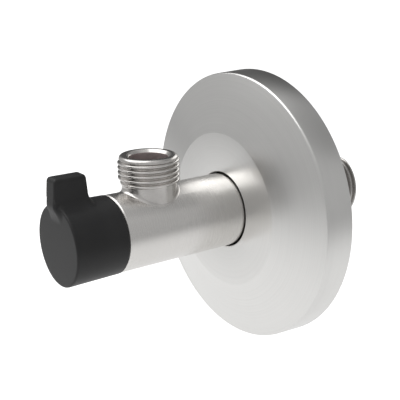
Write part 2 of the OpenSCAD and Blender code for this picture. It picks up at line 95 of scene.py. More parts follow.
class Bench:
    """The hand tools: each method is one step of modelling."""

    @staticmethod
    def clear() -> None:
        """Leaves edit mode and deselects everything."""
        if bpy.context.mode != "OBJECT":
            bpy.ops.object.mode_set(mode="OBJECT")
        bpy.ops.object.select_all(action="DESELECT")

    @staticmethod
    def edit() -> None:
        """Enters edit mode with everything selected."""
        bpy.ops.object.mode_set(mode="EDIT")
        bpy.ops.mesh.select_all(action="SELECT")

    @staticmethod
    def pick(obj: Solid) -> None:
        """Makes obj the only selected and the active object."""
        Bench.clear()
        obj.select_set(True)
        bpy.context.view_layer.objects.active = obj

    @staticmethod
    def soften(corners: Sequence[Corner], steps: int) -> list[LINE]:
        """Turns corners with radii into a closed line of points.

        Args:
            corners: the corners in order, the last joined to the first.
            steps: the number of facets of each rounded corner.

        Returns:
            The points as (radius, place along the axis), in millimetres.
        """
        points: list[LINE] = []
        count = len(corners)
        for i, c in enumerate(corners):
            if c.round <= 0:
                points.append((c.r, c.at))
                continue
            here = Vector((c.r, c.at))
            back = corners[i - 1]
            on = corners[(i + 1) % count]
            a = (Vector((back.r, back.at)) - here).normalized()
            b = (Vector((on.r, on.at)) - here).normalized()
            half = a.angle(b) / 2
            reach = c.round / math.tan(half)
            start, end = here + a * reach, here + b * reach
            centre = here + (a + b).normalized() * (c.round / math.sin(half))
            u, v = start - centre, end - centre
            whole = u.angle(v)
            for k in range(steps + 1):
                t = k / steps
                w = (u * math.sin((1 - t) * whole) + v * math.sin(t * whole)) / math.sin(whole)
                points.append((centre.x + w.x, centre.y + w.y))
        return points

    @staticmethod
    def draw(name: str, points: Iterable[LINE], axis: Axis) -> Solid:
        """Draws a closed line by extruding one vertex from place to place.

        Args:
            name: the object's name.
            points: (radius, place along the axis) in millimetres.
            axis: the line that the places are measured along.

        Returns:
            The new object, left in edit mode.
        """
        if axis is Axis.VALVE:
            places = [Vector((r, -at, 0)) * MM for r, at in points]
        else:
            places = [Vector((r, 0, at)) * MM for r, at in points]
        Bench.clear()
        bpy.ops.mesh.primitive_plane_add(size=MM, location=(0, 0, 0))
        obj = bpy.context.object
        obj.name = name
        obj.data.name = name
        bpy.ops.object.mode_set(mode="EDIT")
        bpy.ops.mesh.select_mode(type="VERT")
        bpy.ops.mesh.select_all(action="SELECT")
        bpy.ops.mesh.merge(type="CENTER")
        bpy.ops.transform.translate(value=places[0])
        for a, b in zip(places, places[1:] + places[:1]):
            bpy.ops.mesh.extrude_vertices_move(TRANSFORM_OT_translate={"value": b - a})
        bpy.ops.mesh.select_all(action="SELECT")
        bpy.ops.mesh.remove_doubles(threshold=SAME)
        return obj

    @staticmethod
    def close(obj: Solid) -> None:
        """Merges doubled vertices of obj and turns its faces outwards."""
        Bench.pick(obj)
        Bench.edit()
        bpy.ops.mesh.remove_doubles(threshold=SAME)
        bpy.ops.mesh.normals_make_consistent(inside=False)
        bpy.ops.object.mode_set(mode="OBJECT")

    @staticmethod
    def turn(
        name: str, corners: Sequence[Corner], axis: Axis, steps: int, facets: int
    ) -> Solid:
        """Turns a closed outline about an axis, as on a lathe.

        Args:
            name: the object's name.
            corners: the outline.
            axis: the axis of the lathe.
            steps: the facets round the axis.
            facets: the facets of each rounded corner.

        Returns:
            The turned solid, with its origin at the world's.
        """
        obj = Bench.draw(name, Bench.soften(corners, facets), axis)
        turning = (0, 1, 0) if axis is Axis.VALVE else (0, 0, 1)
        bpy.ops.mesh.select_all(action="SELECT")
        bpy.ops.mesh.spin(steps=steps, angle=math.tau, center=(0, 0, 0), axis=turning)
        Bench.close(obj)
        return obj

    @staticmethod
    def block(
        size: TRIPLE, centre: TRIPLE, turn: float = 0.0, bevel: float = 0.0, facets: int = 1
    ) -> Solid:
        """Makes a block with bevelled edges.

        Args:
            size: its size in millimetres.
            centre: its middle in millimetres, before it is turned.
            turn: how far it is turned about the valve's axis, in radians.
            bevel: width of the bevel in millimetres, 0 for none.
            facets: the facets of the bevel.

        Returns:
            The block, with its origin at the world's.
        """
        Bench.clear()
        bpy.ops.mesh.primitive_cube_add(size=MM, location=(0, 0, 0))
        obj = bpy.context.object
        Bench.edit()
        bpy.ops.transform.resize(value=size)
        bpy.ops.transform.translate(value=tuple(c * MM for c in centre))
        if turn:
            bpy.ops.transform.rotate(value=turn, orient_axis="Y", center_override=(0, 0, 0))
        if bevel > 0:
            bpy.ops.mesh.bevel(offset=bevel * MM, segments=facets, affect="EDGES")
        bpy.ops.object.mode_set(mode="OBJECT")
        return obj

    @staticmethod
    def cut(obj: Solid, tool: Solid, how: Join = Join.CUT) -> None:
        """Cuts obj with tool, or joins the two, and removes the tool.

        Args:
            obj: the piece that stays.
            tool: the other solid.
            how: what the tool does to the piece.
        """
        Bench.pick(obj)
        step = obj.modifiers.new("cut", "BOOLEAN")
        step.operation = how.value
        step.solver = "EXACT"
        step.object = tool
        bpy.ops.object.modifier_apply(modifier=step.name)
        bpy.data.objects.remove(tool)

    @staticmethod
    def shape(obj: Solid, move: Callable[[np.ndarray], np.ndarray]) -> None:
        """Moves the vertices of obj in code.

        Args:
            obj: the piece.
            move: takes and gives the places in millimetres, one row each.
        """
        mesh = obj.data
        places = np.empty(len(mesh.vertices) * 3)
        mesh.vertices.foreach_get("co", places)
        moved = move(places.reshape(-1, 3) / MM) * MM
        mesh.vertices.foreach_set("co", moved.astype(np.float32).ravel())
        mesh.update()


class Graph:
    """A short way to write a node tree."""

    def __init__(self, tree: bpy.types.NodeTree) -> None:
        """Starts with the tree emptied."""
        self.tree = tree
        tree.nodes.clear()

    def add(self, kind: str, **settings: object) -> bpy.types.Node:
        """Adds a node of a kind, with its settings."""
        node = self.tree.nodes.new(kind)
        for key, value in settings.items():
            setattr(node, key, value)
        return node

    def join(self, out: Socket, into: Socket) -> None:
        """Links two sockets."""
        self.tree.links.new(out, into)

    def sum(self, kind: str, a: object, b: object = 0.0) -> Socket:
        """Adds a Math node.

        Args:
            kind: the operation.
            a: a number or socket.
            b: a number or socket.

        Returns:
            The result's socket.
        """
        node = self.add("ShaderNodeMath", operation=kind)
        for value, socket in zip((a, b), node.inputs):
            if isinstance(value, (int, float)):
                socket.default_value = value
            else:
                self.join(value, socket)
        return node.outputs[0]

    def split(self, vector: Socket) -> Sequence[Socket]:
        """The three parts of a vector."""
        node = self.add("ShaderNodeSeparateXYZ")
        self.join(vector, node.inputs[0])
        return node.outputs

    def length(self, a: Socket, b: Socket) -> Socket:
        """The length of two parts at right angles."""
        squares = self.sum("ADD", self.sum("POWER", a, 2.0), self.sum("POWER", b, 2.0))
        return self.sum("SQRT", squares)

    def range(
        self,
        value: Socket,
        low: float,
        high: float,
        start: float = 0.0,
        end: float = 1.0,
        kind: str = "LINEAR",
    ) -> Socket:
        """Spreads a value over another range.

        Args:
            value: the value.
            low: the result at start.
            high: the result at end.
            start: the value where the range starts.
            end: the value where the range ends.
            kind: LINEAR or SMOOTHSTEP.

        Returns:
            The result's socket.
        """
        node = self.add("ShaderNodeMapRange", interpolation_type=kind)
        names = ("From Min", "From Max", "To Min", "To Max")
        for name, number in zip(names, (start, end, low, high)):
            node.inputs[name].default_value = number
        self.join(value, node.inputs["Value"])
        return node.outputs["Result"]


class Nodes(Graph):
    """A material's nodes."""

    def __init__(self, name: str) -> None:
        """Starts a material with a shader and its output."""
        self.material = bpy.data.materials.new(name)
        self.material.use_nodes = True
        super().__init__(self.material.node_tree)
        self.output = self.add("ShaderNodeOutputMaterial")
        self.shader = self.add("ShaderNodeBsdfPrincipled")
        self.join(self.shader.outputs["BSDF"], self.output.inputs["Surface"])
        self.place = self.add("ShaderNodeTexCoord").outputs["Object"]

    def noise(
        self, where: Socket, scale: float, detail: float = 2.0, rough: float = 0.5
    ) -> Socket:
        """A noise pattern's value.

        Args:
            where: the coordinates.
            scale: the pattern's scale.
            detail: the number of finer layers.
            rough: how strong the finer layers are.

        Returns:
            The value's socket.
        """
        node = self.add("ShaderNodeTexNoise")
        node.inputs["Scale"].default_value = scale
        node.inputs["Detail"].default_value = detail
        node.inputs["Roughness"].default_value = rough
        self.join(where, node.inputs["Vector"])
        return node.outputs["Fac"]

    def tint(
        self, value: Socket, colour: TRIPLE, tones: LINE, stops: LINE = (0.3, 0.7)
    ) -> None:
        """Colours the shader from a darker to a lighter tone of one colour.

        Args:
            value: what picks the tone.
            colour: the middle colour.
            tones: the two tones, as shares of the colour.
            stops: the values at which the tones lie.
        """
        node = self.add("ShaderNodeValToRGB")
        for element, tone, at in zip(node.color_ramp.elements, tones, stops):
            element.position = at
            element.color = (*(min(1.0, c * tone) for c in colour), 1)
        self.join(value, node.inputs["Fac"])
        self.join(node.outputs["Color"], self.shader.inputs["Base Color"])

    def roughen(self, value: Socket, low: float, high: float) -> None:
        """Makes the shader's roughness follow a value, from low to high."""
        self.join(self.range(value, low, high), self.shader.inputs["Roughness"])

    def bump(self, height: Socket, strength: float, distance: float) -> None:
        """Gives the shader a bump of height, at a depth in millimetres."""
        node = self.add("ShaderNodeBump")
        node.inputs["Strength"].default_value = strength
        node.inputs["Distance"].default_value = distance * MM
        self.join(height, node.inputs["Height"])
        self.join(node.outputs["Normal"], self.shader.inputs["Normal"])


@dataclass(frozen=True)
class TurnedMetal:
    """Plated metal with fine lines from the lathe or the brush.

    Args:
        name: the material's name.
        colour: its middle colour.
        rough: its middle roughness.
        lines: lines per metre across the brushing.
        flat: lines run in circles on a face, rather than round a bar.
        depth: depth of the lines in millimetres.
        anisotropic: how far highlights stretch across the lines.
        contrast: how far the lines change the colour.
    """

    name: str
    colour: TRIPLE
    rough: float
    lines: float
    flat: bool = False
    depth: float = 0.004
    anisotropic: float = 0.6
    contrast: float = 0.05

    def build(self) -> Material:
        """Builds the material."""
        n = Nodes(self.name)
        n.shader.inputs["Metallic"].default_value = 1.0
        n.shader.inputs["Anisotropic"].default_value = self.anisotropic
        x, y, z = n.split(n.place)
        fine = n.add("ShaderNodeCombineXYZ")
        along = n.length(x, z) if self.flat else y
        for part, scale, into in zip((along, x, z), (self.lines, 20.0, 20.0), fine.inputs):
            n.join(n.sum("MULTIPLY", part, scale), into)
        lines = n.noise(fine.outputs[0], 1.0, 3.0, 0.65)
        cloud = n.noise(n.place, 90.0, 3.0, 0.55)
        both = n.sum("ADD", n.sum("MULTIPLY", lines, 0.75), n.sum("MULTIPLY", cloud, 0.25))
        n.tint(both, self.colour, (1 - self.contrast, 1 + self.contrast))
        spread = self.contrast * 0.6
        n.roughen(both, self.rough - spread, self.rough + spread)
        n.bump(lines, 0.35, self.depth)
        tangent = n.add("ShaderNodeTangent", direction_type="RADIAL", axis="Y")
        n.join(tangent.outputs[0], n.shader.inputs["Tangent"])
        return n.material


@dataclass(frozen=True)
class PolishedMetal:
    """Bright plating with faint clouds and tiny scratches.

    Args:
        name: the material's name.
        colour: its middle colour.
        rough: its middle roughness.
        spread: how much the clouds change the roughness.
    """

    name: str
    colour: TRIPLE
    rough: float
    spread: float = 0.05

    def build(self) -> Material:
        """Builds the material."""
        n = Nodes(self.name)
        n.shader.inputs["Metallic"].default_value = 1.0
        cloud = n.noise(n.place, 220.0, 4.0, 0.6)
        stretched = n.add("ShaderNodeMapping")
        stretched.inputs["Scale"].default_value = (900, 900, 5200)
        n.join(n.place, stretched.inputs["Vector"])
        grain = n.noise(stretched.outputs[0], 1.0)
        n.tint(cloud, self.colour, (0.88, 1.06), (0.35, 0.65))
        n.roughen(cloud, self.rough - self.spread, self.rough + self.spread)
        n.bump(grain, 0.25, 0.004)
        return n.material


@dataclass(frozen=True)
class SatinPlastic:
    """Moulded plastic or rubber with a fine spark-eroded grain.

    Args:
        name: the material's name.
        colour: its middle colour.
        rough: its middle roughness.
        grain: size of the grain, in patterns per metre.
        depth: depth of the grain in millimetres.
        gloss: strength of its reflections, 0.5 for plain plastic.
    """

    name: str
    colour: TRIPLE
    rough: float
    grain: float = 3500.0
    depth: float = 0.01
    gloss: float = 0.5

    def build(self) -> Material:
        """Builds the material."""
        n = Nodes(self.name)
        n.shader.inputs["Specular IOR Level"].default_value = self.gloss
        cloud = n.noise(n.place, 120.0, 3.0)
        grain = n.noise(n.place, self.grain, 3.0, 0.6)
        n.tint(cloud, self.colour, (0.85, 1.15))
        n.roughen(cloud, self.rough - 0.04, self.rough + 0.05)
        n.bump(grain, 0.3, self.depth)
        return n.material


@dataclass(frozen=True)
class Finishes:
    """Every finish of the valve, each built once."""

    tube: TurnedMetal = TurnedMetal(
        "brushed_tube", (0.72, 0.705, 0.685), 0.27, 9000, False, 0.0004, 0.35, 0.035
    )
    flange: TurnedMetal = TurnedMetal(
        "brushed_flange_face", (0.75, 0.745, 0.73), 0.29, 5000, True, 0.0003, 0.2, 0.035
    )
    outlet: PolishedMetal = PolishedMetal("satin_outlet", (0.68, 0.66, 0.64), 0.23)
    # the inlet thread's colour is the outlet's nickel made about a third darker, which is painted
    # shade
    thread: PolishedMetal = PolishedMetal("thread_painted_shade", (0.46, 0.445, 0.43), 0.26)
    # a dull brownish tone inside the outlet: the brownish tint is the metal's own, its darkness is
    # partly painted shade of the hole
    bore: PolishedMetal = PolishedMetal("bore_partly_painted_shade", (0.5, 0.435, 0.43), 0.5)
    brass: PolishedMetal = PolishedMetal("plain_brass_parts", (0.62, 0.45, 0.2), 0.25)
    chrome: PolishedMetal = PolishedMetal("chromed_ball_skin", (0.62, 0.62, 0.63), 0.08)
    plastic: SatinPlastic = SatinPlastic(
        "black_moulding", (0.0175, 0.0175, 0.018), 0.46, 3500.0, 0.01, 0.35
    )
    seat: SatinPlastic = SatinPlastic("white_seat", (0.75, 0.74, 0.71), 0.45, 1500.0, 0.005)
    rubber: SatinPlastic = SatinPlastic("black_rubber", (0.012, 0.012, 0.012), 0.6, 2500.0, 0.02)

    def made(self) -> dict[str, Material]:
        """Builds every finish and gives them by field name."""
        return {key: getattr(self, key).build() for key in self.__dataclass_fields__}


@dataclass
class Piece:
    """What every dressed piece shares.

    Args:
        paint: the built finishes by name.
    """

    paint: dict[str, Material]

    def finish(
        self,
        obj: Solid,
        body: str,
        slot: str,
        material: str,
        nodes: Sequence[str] = (),
        angle: float = 35,
    ) -> None:
        """Shades, paints and places a finished piece on its body.

        Args:
            obj: the piece.
            body: the CAD body that it rides on.
            slot: the record's material slot; not used.
            material: the finish's name.
            nodes: the CAD nodes that it stands for.
            angle: edges sharper than this stay sharp, in degrees.
        """
        if not obj.data.materials:
            obj.data.materials.append(self.paint[material])
        Bench.pick(obj)
        bpy.ops.object.shade_smooth_by_angle(angle=math.radians(angle))
        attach(obj, body)
        if nodes:
            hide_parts(*nodes)
        LOG.info("%s: %d faces", obj.name, len(obj.data.polygons))


@dataclass
class ScrewThread(Piece):
    """A thread cut as one helical ridge that stands on its core.

    Args:
        name: the piece's name.
        axis: the thread's axis.
        crest: radius of the crest.
        depth: depth of the thread.
        pitch: distance from crest to crest.
        start: where the first crest begins.
        turns: number of turns.
        centre: a point on the axis.
        facets: steps in each turn.
        sunk: how far the ridge is sunk into its core.
        gap: room between neighbouring turns of the sunk part, on each side.
        flat: half of the crest's flat part, as a share of half the pitch.
        flank: where the flank meets the core, as a share of half the pitch.
        width: the drawn ridge's width, as a share of the pitch.
        steps: the points drawn on each flank.
        clock: how far the ridge's start is turned about the axis, in degrees.
        run_out: how many turns each end takes to run out.
        tail: what is left of the ridge at its ends, as a share.
        stop: what reaches past this place along the axis is pressed back to it.
        pressed: how far it is pressed back, as a share.
    """

    name: str = "thread"
    axis: Axis = Axis.OUTLET
    crest: float = 8.331
    depth: float = 0.856
    pitch: float = 1.337
    start: float = 13.8
    turns: int = 4
    centre: TRIPLE = (0, 0, 0)
    facets: int = 96
    sunk: float = 0.1
    gap: float = 0.02
    flat: float = 0.26
    flank: float = 0.94
    width: float = 0.97
    steps: int = 8
    clock: float = 0.0
    run_out: float = 0.33
    tail: float = 0.12
    stop: float = 100.0
    pressed: float = 0.98

    def section(self) -> list[LINE]:
        """The closed outline of the ridge, with rounded crest and foot."""
        root = self.crest - self.depth
        half = self.pitch / 2
        shape = [(root - self.sunk, -half + self.gap)]
        for k in range(2 * self.steps + 1):
            t = -1 + k / self.steps
            w = min(1.0, max(0.0, (self.flank - abs(t)) / (self.flank - self.flat)))
            w = (ease(w) + w) / 2
            shape.append((root + self.depth * w, t * half * self.width))
        shape.append((root - self.sunk, half - self.gap))
        return shape

    def build(self, limit: Callable[[np.ndarray], np.ndarray]) -> Solid:
        """Builds the ridge.

        Args:
            limit: gives the largest radius allowed at each place along the axis.

        Returns:
            The ridge as a closed solid.
        """
        points = [(r, at + self.start) for r, at in self.section()]
        obj = Bench.draw(self.name, points, self.axis)
        bpy.ops.object.mode_set(mode="OBJECT")
        step = obj.modifiers.new("helix", "SCREW")
        step.axis = self.axis.value
        step.angle = math.tau
        step.iterations = self.turns
        step.screw_offset = self.pitch * MM
        step.steps = self.facets
        step.render_steps = self.facets
        step.use_smooth_shade = True
        bpy.ops.object.modifier_apply(modifier=step.name)
        bpy.ops.object.mode_set(mode="EDIT")
        bpy.ops.mesh.select_all(action="DESELECT")
        bpy.ops.mesh.select_mode(type="EDGE")
        bpy.ops.mesh.select_non_manifold(extend=False)
        bpy.ops.mesh.fill()
        bpy.ops.mesh.select_mode(type="VERT")
        bpy.ops.object.mode_set(mode="OBJECT")
        self.fade(obj, limit)
        if any(self.centre):
            Bench.shape(obj, lambda p: p + np.array(self.centre))
        Bench.close(obj)
        return obj

    def fade(self, obj: Solid, limit: Callable[[np.ndarray], np.ndarray]) -> None:
        """Runs the ridge out at both ends and trims it to its limit.

        Args:
            obj: the ridge.
            limit: gives the largest radius allowed at each place along the axis.
        """
        foot = self.crest - self.depth - self.sunk
        rows = len(self.section())
        across = (0, 2) if self.axis is Axis.VALVE else (0, 1)
        along = 1 if self.axis is Axis.VALVE else 2

        def trim(p: np.ndarray) -> np.ndarray:
            """Moves the points in towards the core."""
            ring = np.arange(len(p)) // rows
            last = ring.max()
            fade = np.clip(np.minimum(ring, last - ring) / (self.facets * self.run_out), 0, 1)
            at = p[:, along]
            p[:, along] = at - self.pressed * np.maximum(at - self.stop, 0)
            r = np.hypot(p[:, across[0]], p[:, across[1]])
            want = foot + (r - foot) * (self.tail + (1 - self.tail) * ease(fade))
            want = np.minimum(want, limit(p[:, along]))
            a, b = p[:, across[0]] * want / r, p[:, across[1]] * want / r
            turn = math.radians(self.clock)
            p[:, across[0]] = a * math.cos(turn) - b * math.sin(turn)
            p[:, across[1]] = a * math.sin(turn) + b * math.cos(turn)
            return p

        Bench.shape(obj, trim)


@dataclass
class ValveBody(Piece):
    """The turned body: inlet end, tube and front collar, with its two threads and its outlet.

    Every size is in millimetres, measured along the axis from the inlet end. The row sizes below
    tell where the outlet's foot is drawn under foot_z, before it is rolled onto the tube.
    """

    tube_r: float = 10.5
    tube_edge: float = 0.5
    inlet_edge: float = 0.3
    tube_at: float = 16.5
    tube_end: float = 81.887
    collar_r: float = 9.2
    collar_end: float = 87.087
    bore_r: float = 6.0
    chamber_r: float = 7.75
    chamber_at: float = 61.063
    outlet_at: float = 69.25
    inlet_crest: float = 10.4775
    inlet_depth: float = 1.162
    inlet_pitch: float = 1.814
    inlet_clock: float = 90.0
    outlet_clock: float = 200.0
    relief_at: float = 14.0
    relief_r: float = 9.2775
    neck_r: float = 7.4
    neck_fillet: float = 1.2
    lip_r: float = 7.95
    outlet_crest: float = 8.331
    outlet_depth: float = 0.856
    outlet_pitch: float = 1.337
    outlet_bore: float = 5.3
    outlet_foot: float = 12.4
    outlet_top: float = 19.9
    hole_clear: float = 0.35
    hole_top: float = 12.0
    foot_drop: float = 0.8
    rows: int = 10
    row: float = 0.1
    under: float = 1.6
    under_wall: float = 1.0
    under_sunk: float = 0.6
    inner: float = 3.0
    inner_sunk: float = 0.8
    edge_sunk: float = 0.03

    def tube(self) -> Solid:
        """Turns the tube with its bores and cuts the outlet's hole."""
        root = self.inlet_crest - self.inlet_depth
        obj = Bench.turn(
            "valve_tube",
            [
                Corner(self.bore_r + self.inlet_edge, 0),
                Corner(root, 0, 0.3),
                Corner(root, self.relief_at - 0.3),
                Corner(self.relief_r, self.relief_at),
                Corner(self.relief_r, self.tube_at, 0.3),
                Corner(self.tube_r - self.tube_edge, self.tube_at, 0.08),
                Corner(self.tube_r, self.tube_at + self.tube_edge, 0.12),
                Corner(self.tube_r, self.tube_end - self.tube_edge, 0.1),
                Corner(self.tube_r - self.tube_edge, self.tube_end, 0.1),
                Corner(self.collar_r, self.tube_end, 0.15),
                Corner(self.collar_r, self.collar_end, 0.15),
                Corner(self.chamber_r, self.collar_end, 0.1),
                Corner(self.chamber_r, self.chamber_at),
                Corner(self.bore_r, self.chamber_at),
                Corner(self.bore_r, self.inlet_edge),
            ],
            Axis.VALVE,
            192,
            3,
        )
        hole_r = self.outlet_bore + self.hole_clear
        places = [(0, 0), (hole_r, 0), (hole_r, self.hole_top), (0, self.hole_top)]
        corners = [Corner(r, at) for r, at in places]
        hole = Bench.turn("hole", corners, Axis.OUTLET, 96, 1)
        Bench.shape(hole, lambda p: p - np.array((0, self.outlet_at, 0)))
        Bench.cut(obj, hole)
        return obj

    def neck(self) -> Solid:
        """Turns the outlet and rolls its foot into the tube."""
        root = self.outlet_crest - self.outlet_depth
        foot_z = self.outlet_foot - self.foot_drop
        corners = [
            Corner(self.outlet_bore, foot_z - self.inner),
            Corner(self.outlet_bore, self.outlet_top - 0.8, 0.1),
            Corner(self.outlet_bore + 0.9, self.outlet_top, 0.5),
            Corner(self.lip_r, self.outlet_top, 0.9),
            Corner(self.lip_r, self.outlet_top - 1.0, 0.1),
            Corner(root, self.outlet_top - 1.25, 0.1),
            Corner(root, self.outlet_foot + 0.25),
            Corner(self.neck_r, self.outlet_foot + 0.15),
        ]
        for k in range(self.rows + 1):
            corners.append(Corner(self.neck_r + 0.001 * k, foot_z - self.row * k))
        corners.append(Corner(self.neck_r - self.under_wall, foot_z - self.under))
        obj = Bench.turn("outlet_neck", corners, Axis.OUTLET, 144, 3)
        self.roll(obj, foot_z)
        return obj

    def roll(self, obj: Solid, foot_z: float) -> None:
        """Moves the foot rows of the outlet onto a ball's path along the tube.

        Args:
            obj: the outlet, turned about the world's Z axis.
            foot_z: height of the first foot row.
        """
        f, big, n = self.neck_fillet, self.tube_r, self.neck_r

        def drop(p: np.ndarray) -> np.ndarray:
            """Gives each foot row its place on the saddle."""
            r, below = np.hypot(p[:, 0], p[:, 1]), foot_z - p[:, 2]
            c, s = p[:, 0] / r, p[:, 1] / r
            cx, cy = (n + f) * c, (n + f) * s
            cz = np.sqrt((big + f) ** 2 - cx**2)
            contact = np.stack([cx * big / (big + f), cy, cz * big / (big + f)], 1)
            centre = np.stack([cx, cy, cz], 1)
            top = np.stack([n * c, n * s, cz], 1)
            u, v = top - centre, contact - centre
            whole = np.arccos(np.clip((u * v).sum(1) / f**2, -1, 1))
            for k in range(self.rows + 1):
                row = (np.abs(below - self.row * k) < 0.02) & (r > n - 0.1)
                t = k / self.rows
                a, b = np.sin((1 - t) * whole)[:, None], np.sin(t * whole)[:, None]
                new = centre + (u * a + v * b) / np.sin(whole)[:, None]
                if k == self.rows:
                    new[:, 2] -= self.edge_sunk
                p[row] = new[row]
            for at, ring, sunk in (
                (self.under, n - self.under_wall, self.under_sunk),
                (self.inner, self.outlet_bore, self.inner_sunk),
            ):
                row = (np.abs(below - at) < 0.02) & (np.abs(r - ring) < 0.05)
                p[row, 2] = np.sqrt(big**2 - p[row, 0] ** 2) - sunk
            p[:, 1] -= self.outlet_at
            return p

        Bench.shape(obj, drop)
        Bench.close(obj)

    def build(self) -> None:
        """Builds and dresses the body's pieces."""
        self.finish(self.tube(), "valve", "nickel_plated_brass", "tube", ("valve_body",))
        neck = self.neck()
        neck.data.materials.append(self.paint["outlet"])
        # the faces inside the outlet's bore get the darker bore tone, which is partly painted
        # shade
        neck.data.materials.append(self.paint["bore"])
        inside = (self.outlet_bore + 0.1) * MM
        for face in neck.data.polygons:
            spot = face.center
            if math.hypot(spot.x, spot.y + self.outlet_at * MM) < inside:
                face.material_index = 1
        self.finish(neck, "valve", "nickel_plated_brass", "outlet")
        outlet = ScrewThread(
            self.paint,
            name="outlet_thread",
            crest=self.outlet_crest,
            depth=self.outlet_depth,
            pitch=self.outlet_pitch,
            start=self.outlet_foot,
            turns=5,
            clock=self.outlet_clock,
            centre=(0, -self.outlet_at, 0),
        )
        edge = self.outlet_top - 1.3
        thread = outlet.build(lambda z: self.outlet_crest - 0.7 * np.clip(z - edge, 0, 1.2))
        self.finish(thread, "valve", "nickel_plated_brass", "outlet", angle=80)
        inlet = ScrewThread(
            self.paint,
            name="inlet_thread",
            axis=Axis.VALVE,
            crest=self.inlet_crest,
            depth=self.inlet_depth,
            pitch=-self.inlet_pitch,
            start=-0.1,
            turns=7,
            clock=self.inlet_clock,
            run_out=0.12,
            stop=-0.03,
        )
        thread = inlet.build(lambda y: self.inlet_crest - np.clip(0.25 + y, 0, 1))
        # the inlet thread takes the darkened nickel, which is painted shade
        self.finish(thread, "valve", "nickel_plated_brass", "thread", angle=80)


@dataclass
class KnobForm:
    """The knob's outer shape as a distance field, in millimetres.

    A point is (across, along the axis from the inlet end, up). The round part runs from rear to
    front. The lever has a rear and a front that lean, in degrees, and sides with a draft. The ramp
    leads from the lever's front down to the round face.
    """

    rear: float = 82.037
    front: float = 97.087
    rear_r: float = 10.6
    flare: float = 0.25
    front_round: float = 0.45
    rear_round: float = 0.2
    lever_top: float = 18.05
    lever_back: float = 88.77
    lever_front: float = 97.987
    lever_half: float = 2.28
    draft: float = 1.5
    rear_lean: float = 4.7
    front_lean: float = 4.5
    rear_corner: float = 1.3
    rear_edge: float = 1.4
    top_edge: float = 1.0
    front_corner: float = 1.1
    front_edge: float = 0.5
    flank: float = 2.0
    foot: float = 2.5
    ramp_foot: float = 8.4
    ramp_top: float = 9.9
    ramp_round: float = 1.0
    blend: float = 1.6
    least_blend: float = 0.05
    blend_reach: float = 0.5
    blend_over: float = 1.5
    foot_edge: float = 0.9
    edge_fade: float = 1.0
    root_z: float = 2.0
    slab_over: float = 2.0
    fillet_run: float = 2.0
    search: float = 0.01
    rounds: int = 8
    stride: float = 0.4

    @staticmethod
    def both(a: np.ndarray, b: np.ndarray, r: np.ndarray | float) -> np.ndarray:
        """The common part of two fields, with a rounded edge of radius r."""
        u, v = np.maximum(r + a, 0), np.maximum(r + b, 0)
        return np.minimum(-r, np.maximum(a, b)) + np.hypot(u, v)

    @staticmethod
    def either(a: np.ndarray, b: np.ndarray, r: np.ndarray | float) -> np.ndarray:
        """Two fields joined, with a fillet of radius r."""
        u, v = np.maximum(r - a, 0), np.maximum(r - b, 0)
        return np.maximum(r, np.minimum(a, b)) - np.hypot(u, v)

    def distance(self, p: np.ndarray) -> np.ndarray:
        """How far each point lies outside the knob.

        Args:
            p: the points, one row each.

        Returns:
            The distances, below zero inside.
        """
        x, s, z = p[:, 0], p[:, 1], p[:, 2]
        length = self.front - self.front_round - self.rear
        cone = np.hypot(x, z) - self.rear_r - self.flare * (s - self.rear) / length
        a, b, c = (math.radians(v) for v in (self.draft, self.rear_lean, self.front_lean))
        k = self.lever_half * math.cos(a) + self.lever_top * math.sin(a)
        flank = np.abs(x) * math.cos(a) + z * math.sin(a) - k
        top = z - self.lever_top
        back = (self.lever_back - s) * math.cos(b) + top * math.sin(b)
        face = (s - self.lever_front) * math.cos(c) + top * math.sin(c)
        plan = self.both(back, flank, self.rear_edge)
        rear = self.both(top, back, self.rear_corner)
        crown = self.both(plan, top, self.top_edge)
        root = self.root_z - z
        slab = np.maximum(np.maximum(self.both(plan, rear, self.front_edge), crown), root)
        slab = np.maximum(slab, s - self.lever_front - self.slab_over)
        near = np.clip((s - self.lever_back) / self.fillet_run, 0, 1)
        skin = self.either(cone, slab, self.foot + (self.flank - self.foot) * near)
        knob = self.both(skin, s - self.front, self.front_round)
        knob = self.both(knob, self.rear - s, self.rear_round)
        proud = self.lever_front - self.front + (self.lever_top - self.ramp_top) * math.tan(c)
        d = math.atan(proud / (self.ramp_top - self.ramp_foot))
        ramp = (s - self.front) * math.cos(d) - (z - self.ramp_foot) * math.sin(d)
        nose = self.both(self.both(rear, face, self.front_corner), ramp, self.ramp_round)
        low = np.clip((self.ramp_top - z) / (2 * self.edge_fade) + 0.5, 0, 1)
        edge = self.front_edge + (self.foot_edge - self.front_edge) * low
        lever = np.maximum(np.maximum(self.both(plan, nose, edge), crown), root)
        reach = np.clip(self.ramp_top + self.blend_over - z, 0, 1)
        reach = reach * np.clip((s - self.front) / self.blend_reach + 1, 0, 1)
        return self.either(knob, lever, self.least_blend + self.blend * reach)

    def settle(self, p: np.ndarray) -> np.ndarray:
        """Moves points along the field's slope until they lie on the knob.

        Args:
            p: the points near the surface, in the scene's axes.

        Returns:
            The points on the surface, in the scene's axes.
        """
        q = np.stack([p[:, 0], -p[:, 1], p[:, 2]], 1)
        steps = self.search * np.eye(3)
        for _ in range(self.rounds):
            d = self.distance(q)
            slope = np.stack([self.distance(q + e) - self.distance(q - e) for e in steps], 1)
            slope /= 2 * self.search
            size = np.maximum((slope**2).sum(1), 0.05)
            q -= slope * np.clip(d / size, -self.stride, self.stride)[:, None]
        return np.stack([q[:, 0], -q[:, 1], q[:, 2]], 1)


